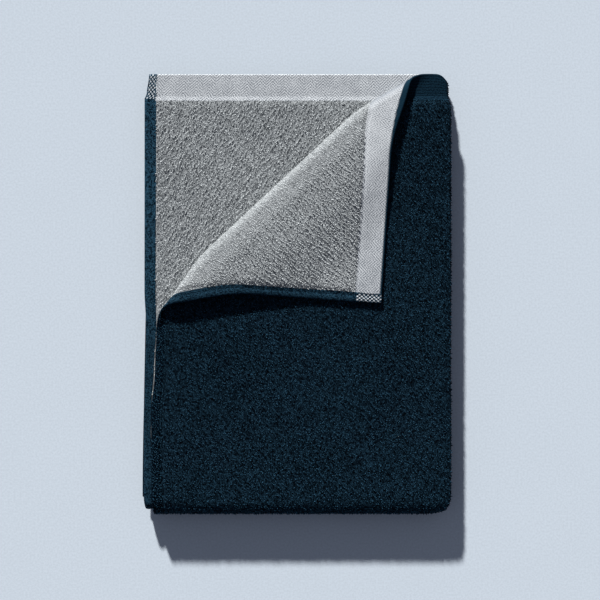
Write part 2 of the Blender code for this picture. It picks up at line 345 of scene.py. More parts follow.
# A socket of a node that can be used in sums, so that shader maths reads as an expression
class Wire:
    def __init__(self, board, socket):
        self.board = board
        self.socket = socket

    def maths(self, operation, *values):
        return self.board.node("ShaderNodeMath", {"operation": operation}, dict(enumerate(values)))

    def __add__(self, other):
        return self.maths("ADD", self, other)

    def __radd__(self, other):
        return self.maths("ADD", other, self)

    def __sub__(self, other):
        return self.maths("SUBTRACT", self, other)

    def __rsub__(self, other):
        return self.maths("SUBTRACT", other, self)

    def __mul__(self, other):
        return self.maths("MULTIPLY", self, other)

    def __rmul__(self, other):
        return self.maths("MULTIPLY", other, self)

    def sine(self):
        return self.maths("SINE", self)

    def pingPong(self, span):
        return self.maths("PINGPONG", self, span)

    def above(self, limit):
        return self.maths("GREATER_THAN", self, limit)

    def clamped(self):
        return self.maths("MINIMUM", self.maths("MAXIMUM", self, 0.0), 1.0)


# Cloth and floor alike are dull. faceStep makes the change from face to face sharp
surface = {"roughness": 0.95, "specular": 0.04, "faceStep": 50}


# A material and its nodes
class Board:
    def __init__(self, name):
        self.material = bpy.data.materials.new(name)
        self.material.use_nodes = True
        self.tree = self.material.node_tree
        self.shader = self.tree.nodes["Principled BSDF"]
        self.shader.inputs["Roughness"].default_value = surface["roughness"]
        self.shader.inputs["Specular IOR Level"].default_value = surface["specular"]

    # One node: its type, its settings, then the values or links of its sockets, by name or number
    def node(self, kind, settings=None, inputs=None, output=0):
        made = self.tree.nodes.new(kind)
        for label, value in (settings or {}).items():
            setattr(made, label, value)
        for label, value in (inputs or {}).items():
            if isinstance(value, Wire):
                self.tree.links.new(value.socket, made.inputs[label])
            else:
                made.inputs[label].default_value = value
        return Wire(self, made.outputs[output])

    def attribute(self, label):
        return self.node("ShaderNodeAttribute", {"attribute_name": label}, output="Fac")

    # 1 on the navy face and 0 on the grey one
    def navyFace(self):
        return (self.attribute("side") * surface["faceStep"] + 0.5).clamped()

    # The place on the flat cloth: across, along, and both as one vector
    def clothPlace(self):
        place = self.node("ShaderNodeUVMap", {"uv_map": "cloth"})
        across = self.node("ShaderNodeSeparateXYZ", None, {0: place})
        along = Wire(self, across.socket.node.outputs[1])
        return across, along, place

    def objectPlace(self):
        return self.node("ShaderNodeTexCoord", output="Object")

    def noise(self, place, scale, detail=2.0):
        return self.node("ShaderNodeTexNoise", None, {"Vector": place, "Scale": scale, "Detail": detail})

    # Two colours mixed by a share. In the colour mode they go into sockets 6 and 7, and 2 gives the result
    def mix(self, share, low, high):
        low, high = ((*c, 1.0) if isinstance(c, tuple) else c for c in (low, high))
        return self.node("ShaderNodeMix", {"data_type": "RGBA"}, {0: share, 6: low, 7: high}, output=2)

    def bump(self, height, strength, distance):
        inputs = {"Height": height, "Strength": strength, "Distance": distance}
        return self.node("ShaderNodeBump", None, inputs)

    def finish(self, colour, normal=None):
        self.tree.links.new(colour.socket, self.shader.inputs["Base Color"])
        if normal:
            self.tree.links.new(normal.socket, self.shader.inputs["Normal"])
        return self.material


# Colours of the yarns, as light that they give back. The root colours are darker than the yarn: painted shade
# for the pile's roots and the ground between the humps
yarn = {
    "navyShadedRoot": (0.0004, 0.0018, 0.0042),
    "navyTip": (0.0400, 0.1200, 0.1980),
    "greyShadedRoot": (0.195, 0.210, 0.220),
    "greyTip": (0.915, 0.952, 0.968),
    "bandLow": (0.21, 0.23, 0.26),
    "bandHigh": (0.82, 0.85, 0.88),
    "navyBand": (0.0008, 0.0050, 0.0110),
    "navyStrip": (0.0320, 0.0930, 0.1500),
    "navyRim": (0.0085, 0.0310, 0.0530),
    "white": (0.66, 0.70, 0.74),
}

# Looks of the weaves. Rates are in radians a metre, scales in noise cells a metre and spacings in metres
groundLook = {
    "warp": 3900,
    "weft": 3600,
    "cloudScale": 320.0,
    "cloudGain": 1.6,
    "cloudDark": 0.5,
    "tipShare": 0.5,
    "bump": 0.5,
    "bumpDepth": 0.0004,
}


# Ground weave: small checks of warp and weft, (1 + sin(a u) sin(b v)) / 2, in the colour of its face: mostly
# the painted shade of the pile's roots, lightened in places by cloudy noise
def groundMaterial():
    board = Board("groundWeave")
    across, along, _ = board.clothPlace()
    onNavy = board.navyFace()
    check = (across * groundLook["warp"]).sine() * (along * groundLook["weft"]).sine() * 0.5 + 0.5
    cloudy = board.noise(board.objectPlace(), groundLook["cloudScale"])
    light = (cloudy * groundLook["cloudGain"] - groundLook["cloudDark"]).clamped() * groundLook["tipShare"]
    root = board.mix(onNavy, yarn["greyShadedRoot"], yarn["navyShadedRoot"])
    tip = board.mix(onNavy, yarn["greyTip"], yarn["navyTip"])
    relief = board.bump(check, groundLook["bump"], groundLook["bumpDepth"])
    return board.finish(board.mix(light, root, tip), relief)


pileLook = {
    "fibreScale": 700.0,
    "patchScale": 24.0,
    "fibreShade": 0.20,
    "patchShade": 0.14,
    "navyGrain": 8.5,
    "greyGrain": 3.0,
    "bump": 0.6,
    "bumpDepth": 0.0005,
}


# Pile: painted shade at the root of each hump and its yarn's colour at the top, rise x tone x (1 + grain),
# with fibres as bump
def pileMaterial(name, root, tip, grain):
    board = Board(name)
    rise = board.attribute("rise")
    tone = board.attribute("tone")
    place = board.objectPlace()
    fibres = board.noise(place, pileLook["fibreScale"], 1.0)
    patches = board.noise(place, pileLook["patchScale"])
    share = rise * tone * ((fibres - 0.5) * grain + 1.0)
    share = share + (fibres - 0.5) * pileLook["fibreShade"] + (patches - 0.5) * pileLook["patchShade"]
    relief = board.bump(fibres, pileLook["bump"], pileLook["bumpDepth"])
    return board.finish(board.mix(share.clamped(), root, tip), relief)


# Twill height: sin(2 pi (v + zigzag(u)) / spacing), the zigzag going up and down once every two legs
herringbone = {"leg": 0.0074, "spacing": 0.0033, "relief": 0.00022, "shift": 0.0009}


def twill(u, v):
    leg = herringbone["leg"]
    zigzag = leg - np.abs(np.mod(u + herringbone["shift"], 2 * leg) - leg)
    return np.sin(2 * math.pi * (v + zigzag) / herringbone["spacing"])


bandLook = {
    "lines": 0.62,
    "dashSpacing": 0.0039,
    "dashes": 0.16,
    "slubScale": 900.0,
    "slubs": 2.9,
    "cloudScale": 60.0,
    "clouds": 0.5,
    "light": 0.18,
    # Painted light and shade on the turned corner's band
    "flapRate": 5,
    "flapPaintedLight": 0.34,
    "flapPaintedShade": 0.12,
    "flapTo": 0.34,
    "darkSlubs": 9,
    "darkRows": 1900,
    "darkRowShare": 0.5,
    "dark": 0.42,
    "ribsAcross": 6200,
    "ribsAlong": 5200,
    "ribShare": 0.3,
    "bump": 0.5,
    "bumpDepth": 0.0004,
}


# End band: light herringbone on the grey face and plain dark weave on the navy one
def bandMaterial():
    board = Board("endBandWeave")
    across, along, place = board.clothPlace()
    zigzag = (across + herringbone["shift"]).pingPong(herringbone["leg"])
    phase = (along + zigzag) * (2 * math.pi / herringbone["spacing"])
    lines = phase.sine() * 0.5 + 0.5
    slubs = board.noise(place, bandLook["slubScale"])
    clouds = board.noise(place, bandLook["cloudScale"])
    dashes = ((across - along) * (2 * math.pi / bandLook["dashSpacing"])).sine() * bandLook["dashes"]

    # Painted light and shade on the turned corner's band: darker at its tip and lighter away from it
    flap = (across * bandLook["flapRate"]).clamped() * bandLook["flapPaintedLight"] - bandLook["flapPaintedShade"]
    flap = flap * (bandLook["flapTo"] - across).above(0.0)
    share = lines * bandLook["lines"] + dashes + flap + (slubs - 0.5) * bandLook["slubs"]
    share = (share + (clouds - 0.5) * bandLook["clouds"] + bandLook["light"]).clamped()
    light = board.mix(share, yarn["bandLow"], yarn["bandHigh"])
    # Painted shade: the band is darkened on the roll, where it faces the light
    light = board.mix(board.attribute("paintedRollShade"), light, yarn["bandLow"])
    light = board.mix(board.attribute("rim"), light, yarn["navyRim"])

    rows = (along * bandLook["darkRows"]).sine() * bandLook["darkRowShare"]
    darkShare = ((slubs - 0.5) * bandLook["darkSlubs"] + rows + bandLook["dark"]).clamped()
    dark = board.mix(darkShare, yarn["navyBand"], yarn["navyRim"])
    ribs = (across * bandLook["ribsAcross"]).sine() * (along * bandLook["ribsAlong"]).sine()
    relief = board.bump(slubs + ribs * bandLook["ribShare"], bandLook["bump"], bandLook["bumpDepth"])
    return board.finish(board.mix(board.navyFace(), light, dark), relief)


hemLook = {
    "ribsAlong": 3100,
    "ribsAcross": 2900,
    "ribs": 0.30,
    "slubScale": 640.0,
    "slubs": 4.4,
    "light": 0.45,
    "upperFrom": 3.2,
    "upperRate": 10.0,
    "upperGain": 0.36,
    "upperLow": 0.64,
    "upperSide": 0.35,
    "checkAcross": 0.0039,
    "checkAlong": 0.0048,
    "checkLimit": 0.16,
    "checkOver": 0.001,
    "checkFrom": 0.12,
    "checkTo": 0.86,
    "checkShare": 0.90,
    "ribShare": 0.4,
    "bump": 0.8,
    "bumpDepth": 0.0006,
}


# Side hem: navy with fine ribs, and a navy and white check where it crosses the end bands
def hemMaterial():
    board = Board("sideHemWeave")
    across, along, _ = board.clothPlace()
    inner = 1 - board.navyFace()
    ribs = (along * hemLook["ribsAlong"]).sine() * (across * hemLook["ribsAcross"]).sine()
    slubs = board.noise(board.objectPlace(), hemLook["slubScale"])
    share = (hemLook["light"] + ribs * hemLook["ribs"] + (slubs - 0.5) * hemLook["slubs"]).clamped()

    # The inner leaf's strip is lightest beside the bared grey face
    upper = (hemLook["upperFrom"] - along * hemLook["upperRate"]).clamped()
    upper = upper * (across - hemLook["upperSide"]).above(0.0) * hemLook["upperGain"] + hemLook["upperLow"]
    navy = board.mix(share * inner * upper, yarn["navyBand"], yarn["navyStrip"])

    # Checks: 1 where sin(2 pi u / a) sin(2 pi v / b) is over the limit, within the band and the border
    columns = (across * (2 * math.pi / hemLook["checkAcross"])).sine()
    rows = (along * (2 * math.pi / hemLook["checkAlong"])).sine()
    check = (columns * rows).above(hemLook["checkLimit"])
    band = 1 - (along - cloth["endBand"] + hemLook["checkOver"]).above(0.0)
    depth = board.attribute("depth")
    border = depth.above(hemLook["checkFrom"]) * (hemLook["checkTo"] - depth).above(0.0)
    colour = board.mix(check * band * border * inner * hemLook["checkShare"], navy, yarn["white"])
    relief = board.bump(ribs * hemLook["ribShare"] + slubs, hemLook["bump"], hemLook["bumpDepth"])
    return board.finish(colour, relief)


# Width of the side hem at places along the cloth, on the outer leaf and on the inner one. It goes under
# the end band a little, and its padding on the navy face ends at a share of the way round the roll
hemWidths = {
    "outerAlong": (0.030, 0.060, 0.215),
    "outer": (0.0112, 0.0108, 0.0095),
    "innerAlong": (0.0, 0.030, 0.034, 0.26, 0.296, 0.314, 0.343, 0.377, 0.412, 0.430, 0.445),
    "inner": (0.0092, 0.0127, 0.0134, 0.0130, 0.0115, 0.0107, 0.0100, 0.0083, 0.0075, 0.0080, 0.0112),
    "underBand": 0.0008,
    "padTo": 0.6,
}


def hemWidth(u, v):
    outer = np.interp(v, hemWidths["outerAlong"], hemWidths["outer"])
    inner = np.interp(v, hemWidths["innerAlong"], hemWidths["inner"])
    return np.where(u > cloth["width"] / 2, inner, outer)


# On the navy face of the top leaf the hem is padded out, level with the terry beside it
def hemLift(u, v):
    x, y, _, band = doubledCloth(u, v)
    _, _, _, outZ = layerPath(v)
    past, radius, _, _ = pastCrease(x, y)
    flat = (u < stack["outerLeaf"]) & (v < frontStart)
    onBend = (u < stack["outerLeaf"]) & (v >= frontStart) & (v < frontEnd)
    share = flat * (1 - eased(past / (math.pi * radius * hemWidths["padTo"]))) + onBend * (outZ > 0)
    return hemSag(u, band, outZ) * share


# How far past the parts that show the pile goes, and how far it keeps from the edge, the hems and the bands
shown = {
    "margin": 0.008,
    "underRoll": 0.010,
    "foldReach": 0.0075,
    "bendReach": 0.012,
    "beforeCrease": 0.004,
    "underFlap": 0.014,
    "edgeRound": 2.2,
    "fromEdge": 0.0007,
    "fromTrim": 0.0006,
}


# True where the navy face shows: on top, at the folds and bends, and along the edges
def outerShown(u, v):
    hem = cloth["sideHem"]
    x, y, _, _ = doubledCloth(u, v)
    past, radius, _, _ = pastCrease(x, y)
    onLeaf = u < stack["outerLeaf"]
    onTop = onLeaf & (v < frontEnd + shown["bendReach"])
    flap = onTop & (v < frontStart) & (past > math.pi * radius + shown["underRoll"])
    flapEdge = (u < hem + 2 * shown["margin"]) | (v < cloth["endBand"] + 2 * shown["margin"])
    fold = np.abs(u - stack["outerLeaf"] - foldArc / 2) < foldArc / 2 + shown["foldReach"]
    backBend = onLeaf & (v > backStart - shown["bendReach"]) & (v < backEnd + shown["bendReach"])
    free = np.minimum(u, cloth["width"] - u) < hem + shown["margin"]
    return (onTop & (~flap | flapEdge)) | fold | backBend | free


# True where the grey face shows: on the roll and the flap, on the leaf that they bare, and along the edges
def innerShown(u, v):
    hem = cloth["sideHem"]
    x, y, _, _ = doubledCloth(u, v)
    past, radius, _, _ = pastCrease(x, y)
    onTop = v < frontStart
    rolled = (u < stack["outerLeaf"]) & onTop & (past > -shown["beforeCrease"])
    bared = (u > stack["outerLeaf"] + foldArc) & onTop & (past > radius - shown["underFlap"])
    free = np.minimum(u, cloth["width"] - u) < hem + shown["margin"]
    return rolled | bared | free


# True on the terry. On the navy face of the top leaf the pile runs over the hem to the edge
def onTerry(u, v, side):
    depth = np.minimum(u, cloth["width"] - u)
    fromEnd = np.minimum(v, cloth["length"] - v) - cloth["endBand"]
    x, y, _, _ = doubledCloth(u, v)
    past, radius, _, _ = pastCrease(x, y)
    beforeRoll = (past < shown["edgeRound"] * radius) | (v > frontStart)
    toEdge = (side > 0) & (u < cloth["width"] / 2) & (v < frontEnd) & beforeRoll
    fromSide = np.where(toEdge, depth - shown["fromEdge"], depth - hemWidth(u, v) - shown["fromTrim"])
    return (fromSide > 0) & (fromEnd > shown["fromTrim"])


# Stations over several runs, each from a to b and about a step apart
def spaced(*runs):
    stations = [np.linspace(a, b, max(1, round((b - a) / step)) + 1) for a, b, step in runs]
    return np.unique(np.round(np.concatenate(stations), cloth["decimals"]))


# Ground cloth: a thin sheet under the pile, thicker where the pile does not show and is left out
ground = {
    "inset": 0.0014,
    "half": 0.00066,
    "pile": 0.00090,
    "full": 0.00215,
    "edge": 0.002,
    "edgeTo": 0.020,
    "fine": 0.004,
    "fineAcross": 0.26,
    "fineAlong": 0.36,
    "mid": 0.008,
    "coarse": 0.012,
    "bend": 0.0012,
    "frontBend": 1.7,
    "backBend": 1.4,
    "underHem": 0.0012,
    "underBand": 0.002,
    "besideFold": 0.002,
}


def groundSheet(material):
    foldEnd = stack["outerLeaf"] + foldArc
    width, length = cloth["width"], cloth["length"]
    acrossAt = spaced(
        (ground["inset"], ground["edgeTo"], ground["edge"]),
        (ground["edgeTo"], ground["fineAcross"], ground["fine"]),
        (ground["fineAcross"], stack["outerLeaf"], ground["mid"]),
        (stack["outerLeaf"], foldEnd, ground["bend"]),
        (foldEnd, width - ground["edgeTo"], ground["mid"]),
        (width - ground["edgeTo"], width - ground["inset"], ground["edge"]),
    )
    alongAt = spaced(
        (ground["inset"], ground["fineAlong"], ground["fine"]),
        (ground["fineAlong"], frontStart, ground["mid"]),
        (frontStart, frontEnd, ground["bend"] * ground["frontBend"]),
        (frontEnd, backStart, ground["coarse"]),
        (backStart, backEnd, ground["bend"] * ground["backBend"]),
        (backEnd, length - ground["inset"], ground["coarse"]),
    )

    # Half thickness: least under hems and bands, a little more under the pile, and full where there is none
    def height(show):
        def over(u, v):
            side = np.minimum(u, width - u) < hemWidth(u, v) + ground["underHem"]
            end = np.minimum(v, length - v) < cloth["endBand"] + ground["underBand"]
            fold = (u > stack["outerLeaf"] - ground["besideFold"]) & (u < foldEnd + ground["besideFold"])
            padded = np.where(show(u, v) | fold, ground["pile"], ground["full"])
            return np.where(side | end, ground["half"], padded)
        return over

    return clothShell("groundCloth", acrossAt, alongAt, height(outerShown), height(innerShown), material)


# End band: a woven strip over the ground, with its twill raised on the grey face and its free end rounded
bandShape = {
    "cell": 0.0010,
    "coarse": 0.004,
    "endCell": 0.0004,
    "half": 0.00118,
    "round": 0.0016,
    "thinnest": 0.02,
    "tuck": 0.0020,
    "tuckLow": 0.55,
    "tuckRise": 0.45,
    "rim": 0.0026,
    "rimGrows": 0.0036,
    "rimFrom": 0.030,
    "rimOver": 0.040,
    "rimBlend": 0.0006,
    "rimStart": 0.012,
    # Painted shade on the roll: how dark, where on the turn and how wide
    "paintedRollShade": 0.95,
    "paintedRollShadeAt": 1.85,
    "paintedRollShadeOver": 0.85,
}


def endBand(name, atStart, cell, material):
    tuck = bandShape["tuck"]
    acrossAt = np.linspace(0, 1, round(cloth["width"] / cell))
    alongAt = spaced(
        (0.0, bandShape["round"], bandShape["endCell"]),
        (bandShape["round"], cloth["endBand"] + tuck, cell),
    )
    if not atStart:
        alongAt = cloth["length"] - alongAt[::-1]

    # From hem to hem, with its sides a little over their inner edges
    def warp(share, v):
        low = hemWidth(0 * v, v) - hemWidths["underBand"]
        high = cloth["width"] - hemWidth(0 * v + cloth["width"], v) + hemWidths["underBand"]
        return low + (high - low) * share

    # A quarter circle at the free end, sqrt(1 - (1 - d)^2), and an eased fall where the band meets the terry
    def rounded(v):
        fromEnd = np.minimum(v, cloth["length"] - v)
        depth = np.clip(fromEnd / bandShape["round"], bandShape["thinnest"], 1)
        tucked = np.clip((cloth["endBand"] + tuck - fromEnd) / tuck, 0, 1)
        return np.sqrt(1 - (1 - depth) ** 2) * (bandShape["tuckLow"] + bandShape["tuckRise"] * eased(tucked))

    def outer(u, v):
        return bandShape["half"] * rounded(v)

    def inner(u, v):
        return (bandShape["half"] + herringbone["relief"] * twill(u, v)) * rounded(v)

    # The turned corner's edge shows its navy face as a rim, wider where it leaves the roll
    def rim(u, v):
        x, y, _, _ = doubledCloth(u, v)
        past = pastCrease(x, y)[0]
        fallen = eased((past - bandShape["rimFrom"]) / bandShape["rimOver"])
        width = bandShape["rim"] + bandShape["rimGrows"] * (1 - fallen)
        within = np.clip((width - v) / bandShape["rimBlend"] + 0.5, 0, 1)
        return within * (u < stack["outerLeaf"]) * eased(past / bandShape["rimStart"])

    # Painted shade on the roll: where the band faces the light its colour is darkened, to tone down the
    # highlight there
    def paintedRollShade(u, v):
        x, y, _, _ = doubledCloth(u, v)
        past, radius, _, _ = pastCrease(x, y)
        off = (past / radius - bandShape["paintedRollShadeAt"]) / bandShape["paintedRollShadeOver"]
        return bandShape["paintedRollShade"] * np.exp(-(off**2)) * (u < stack["outerLeaf"])

    return clothShell(name, acrossAt, alongAt, outer, inner, material, warp, {"rim": rim, "paintedRollShade": paintedRollShade})


# Side hem: on the grey face a turned strip with a full edge, a groove of stitching and a flat inner part
hemShape = {
    "edgeCells": 4,
    "flatCells": 12,
    "step": 0.0028,
    "bendStep": 0.6,
    "lowStep": 2,
    "half": 0.00118,
    "outerHalf": 0.00080,
    "round": 0.13,
    "thinnest": 0.02,
    "past": 0.04,
    "bulge": 0.00042,
    "bulgeAt": 0.30,
    "bulgeOver": 0.22,
    "groove": 0.00030,
    "grooveAt": 0.66,
    "grooveOver": 0.07,
    "rib": 0.00004,
    "ribRate": 2100,
    "pucker": 0.00005,
    "longPucker": 173,
    "shortPucker": 311,
    "puckerShift": 2,
}


def sideHem(name, nearSide, material):
    step, bendStep = hemShape["step"], hemShape["step"] * hemShape["bendStep"]
    lowStep = hemShape["step"] * hemShape["lowStep"]
    most = 1 + hemShape["past"]
    edge = np.linspace(0, hemShape["round"], hemShape["edgeCells"] + 1)
    flat = np.linspace(hemShape["round"], most, hemShape["flatCells"] + 1)
    share = np.concatenate((edge, flat[1:]))
    acrossAt = share if nearSide else 1 - (share - hemShape["past"])[::-1]
    alongAt = spaced(
        (0.0, frontStart, step),
        (frontStart, frontEnd, bendStep),
        (frontEnd, backStart, lowStep),
        (backStart, backEnd, bendStep),
        (backEnd, cloth["length"], lowStep),
    )

    # From the cloth's edge to a little past the hem's width
    def warp(t, v):
        edgeAt = 0.0 if nearSide else cloth["width"]
        wide = hemWidth(edgeAt + 0 * v, v)
        return t * wide if nearSide else cloth["width"] - (most - t) * wide

    def depthShare(u, v):
        return np.minimum(u, cloth["width"] - u) / hemWidth(u, v)

    # A quarter circle at the edge, sqrt(1 - (1 - d)^2)
    def rounded(u, v):
        depth = np.clip(depthShare(u, v) / hemShape["round"], hemShape["thinnest"], 1)
        return np.sqrt(1 - (1 - depth) ** 2)

    # Half thickness + bulge e^(-((d - a) / b)^2) - groove e^(-((d - c) / e)^2) + ribs and puckers
    def inner(u, v):
        share = depthShare(u, v)
        fromBulge = (share - hemShape["bulgeAt"]) / hemShape["bulgeOver"]
        fromGroove = (share - hemShape["grooveAt"]) / hemShape["grooveOver"]
        bulge = hemShape["bulge"] * np.exp(-(fromBulge**2))
        groove = hemShape["groove"] * np.exp(-(fromGroove**2))
        ribs = hemShape["rib"] * np.sin(v * hemShape["ribRate"])
        ribs = ribs + hemShape["pucker"] * np.sin(v * hemShape["longPucker"] + hemShape["puckerShift"])
        ribs = ribs + hemShape["pucker"] * np.sin(v * hemShape["shortPucker"])
        return (hemShape["half"] + bulge - groove + ribs) * rounded(u, v)

    def outer(u, v):
        return (hemShape["outerHalf"] + hemLift(u, v)) * rounded(u, v)

    return clothShell(name, acrossAt, alongAt, outer, inner, material, warp, {"depth": depthShare})


# Pile: short humps of yarn that stand in jittered rows, each drawn with eight faces
pile = {
    "seed": 7,
    "reach": 0.00094,
    "halfWidth": 0.00052,
    "height": 0.00160,
    "sideHeight": 0.00115,
    "underHeight": 0.00030,
    "endHeight": -0.00033,
    "root": 0.00056,
    "mostHumps": 24000,
    "topPitch": 0.00186,
    "sidePitch": 0.0026,
    "rowShare": 0.93,
    "columnShare": 1.07,
    "rowShift": 0.53,
    "jitter": 0.34,
    "turn": 0.90,
    "turnSpread": 0.38,
    "grown": (0.85, 1.15),
    "tall": (0.55, 1.30),
    "lean": 0.30,
    "leanAcross": 31,
    "leanAlong": 27,
    "leanShift": 2,
}

# The nap lies in soft ridges that run slantwise over the cloth, and they pull and raise the humps, with
# painted light on the ridges' crests and painted shade in the hollows between
nap = {
    "seed": 31,
    "waves": 48,
    "width": 0.0038,
    "spread": 0.46,
    "sway": 0.30,
    "pull": 0.00042,
    "mostPull": 1.5,
    "tall": 0.36,
    "lowest": -1.6,
    "highest": 1.3,
    # Painted light on the ridges' crests and painted shade in their hollows
    "tone": 0.27,
    "navyShare": 0.55,
}

# Tone of the pile, from dark to light: its mean and spread on each face, and how it changes from part to
# part, mostly as painted light and shade
toneOf = {
    "navy": (0.36, 0.80),
    "grey": (0.76, 0.85),
    "most": 2.0,
    # Painted shade by the band, and painted light on the front bend and along the free edge
    "paintedBandShade": 0.5,
    "paintedBandShadeOver": 0.0025,
    "bend": 0.45,
    "bendLightOver": 0.012,
    "edge": 0.50,
    "edgeFrom": 0.015,
    "edgeOver": 0.005,
    "edgeTall": 0.2,
    "rollFrom": 0.003,
    "rollOn": 0.005,
    "rollTo": 0.015,
    # Painted shade on the roll's side that faces the light and a painted highlight over its top
    "rollShadeTone": 0.55,
    "rollHighlightTone": 1.90,
    "rollTurn": 1.9,
    "rollOver": 1.2,
    "rollKeeps": 0.16,
    "rollMean": 0.6,
    "rollHighlightRise": 0.95,
    "rollTall": 0.38,
    "rollTallKeeps": 0.10,
    # Painted light on the flap, further out and beside the band
    "flap": 0.36,
    "far": 0.42,
    "farOver": 0.080,
    "beside": 0.35,
    "besideFrom": 0.003,
    "besideOver": 0.005,
}


# Ridges of the nap: the mean of many plane waves, sin(k . (u, v) + p), whose directions lie near one another
def napRidges(u, v):
    chance = np.random.default_rng(nap["seed"])
    heading = pile["turn"] + math.pi / 2 + chance.normal(0, nap["sway"], nap["waves"])
    size = 2 * math.pi / (nap["width"] * np.exp(chance.normal(0, nap["spread"], nap["waves"])))
    shift = chance.uniform(0, 2 * math.pi, nap["waves"])
    height = np.zeros_like(u)
    slope = np.zeros_like(u)
    for k, a, p in zip(size, heading, shift):
        phase = k * (u * math.cos(a) + v * math.sin(a)) + p
        height += np.sin(phase)
        slope += np.cos(phase)
    share = math.sqrt(2 / nap["waves"])
    return height * share, slope * share


# A hump of yarn: two low ends, two sides, a top and an underside
def humpShape():
    reach, halfWidth = pile["reach"], pile["halfWidth"]
    points = (
        (-reach, 0.0, pile["endHeight"]),
        (reach, 0.0, pile["endHeight"]),
        (0.0, halfWidth, pile["sideHeight"]),
        (0.0, -halfWidth, pile["sideHeight"]),
        (0.0, 0.0, pile["height"]),
        (0.0, 0.0, pile["underHeight"]),
    )
    faces = ((0, 3, 4), (3, 1, 4), (1, 2, 4), (2, 0, 4), (3, 0, 5), (1, 3, 5), (2, 1, 5), (0, 2, 5))
    return np.array(points), np.array(faces)


# Places of the humps of one face: rows a pitch apart, every second one half a step on, each moved by chance
def humpPlaces(keep, side, reachAlong, pitch, chance):
    rows = np.arange(0.0, reachAlong, pitch * pile["rowShare"])
    columns = np.arange(0.0, cloth["width"], pitch * pile["columnShare"])
    u, v = np.meshgrid(columns, rows)
    u = u + (np.arange(len(rows)) % 2)[:, None] * pitch * pile["rowShift"]
    u = u + (chance.random(u.shape) - 0.5) * pitch * pile["jitter"] * 2
    v = v + (chance.random(v.shape) - 0.5) * pitch * pile["jitter"] * 2
    u, v = u.ravel(), v.ravel()
    inside = (u > 0) & (u < cloth["width"]) & (v > 0) & (v < cloth["length"])
    u, v = u[inside], v[inside]
    stay = keep(u, v) & onTerry(u, v, side)
    return u[stay], v[stay]


# Where humps stand on the turned corner: how far past the crease, and their shares on the roll and the flap
def cornerPlace(u, v):
    x, y, _, _ = doubledCloth(u, v)
    past, radius, _, _ = pastCrease(x, y)
    beyond = past - math.pi * radius
    topLeaf = (u < stack["outerLeaf"]) & (v < frontStart)
    left = eased((beyond - toneOf["rollOn"]) / toneOf["rollTo"])
    onRoll = topLeaf * eased(past / toneOf["rollFrom"]) * (1 - left)
    onFlap = topLeaf * eased(beyond / toneOf["rollTo"])
    return past, radius, onRoll, onFlap


# 1 along the free edge of the top leaf's navy face and 0 away from it
def byFreeEdge(u, v, past):
    return eased((toneOf["edgeFrom"] - u) / toneOf["edgeOver"]) * (v < frontStart) * (past < 0)


# Tone by chance and by the ridges, with painted shade along the end band's border and painted light on the
# front bend, which turns away from the light, and along the free edge
def navyTones(u, v, past, ridge, chance):
    tone = np.clip(chance.normal(*toneOf["navy"], len(u)), 0.0, toneOf["most"])
    tone = np.clip(tone + nap["tone"] * ridge, 0.0, toneOf["most"])
    # Painted shade along the border with the end band
    fromBand = (v - cloth["endBand"]) / toneOf["paintedBandShadeOver"]
    tone = tone * (1 - toneOf["paintedBandShade"] * np.exp(-(fromBand**2)))
    # Painted light on the front bend, which turns away from the light, and along the free edge
    tone = tone + toneOf["bend"] * eased((v - frontStart) / toneOf["bendLightOver"]) * (v < frontEnd)
    return tone + toneOf["edge"] * byFreeEdge(u, v, past)


# Tone by chance and by the ridges, with painted shade where the roll's side faces the light, a painted
# highlight over its top, and painted light on the flap, lighter the further out and beside the band
def greyTones(v, past, radius, onRoll, onFlap, ridge, chance):
    tone = np.clip(chance.normal(*toneOf["grey"], len(v)), 0.0, toneOf["most"])
    tone = np.clip(tone + nap["tone"] * ridge, 0.0, toneOf["most"])
    # Painted shade where the roll's side faces the light and a painted highlight over its top
    turned = eased((past / radius - toneOf["rollTurn"]) / toneOf["rollOver"])
    paintedRollTone = toneOf["rollShadeTone"] + (toneOf["rollHighlightTone"] - toneOf["rollShadeTone"]) * turned
    tone = tone + (paintedRollTone + toneOf["rollKeeps"] * (tone - toneOf["rollMean"]) - tone) * onRoll
    # Painted light on the flap, beside the band and further out
    fromBand = (v - cloth["endBand"] - toneOf["besideFrom"]) / toneOf["besideOver"]
    paintedLightBesideBand = np.exp(-(fromBand**2))
    paintedLightFarOut = eased((past - math.pi * radius) / toneOf["farOver"])
    return tone + (toneOf["flap"] + toneOf["far"] * paintedLightFarOut + toneOf["beside"] * paintedLightBesideBand) * onFlap


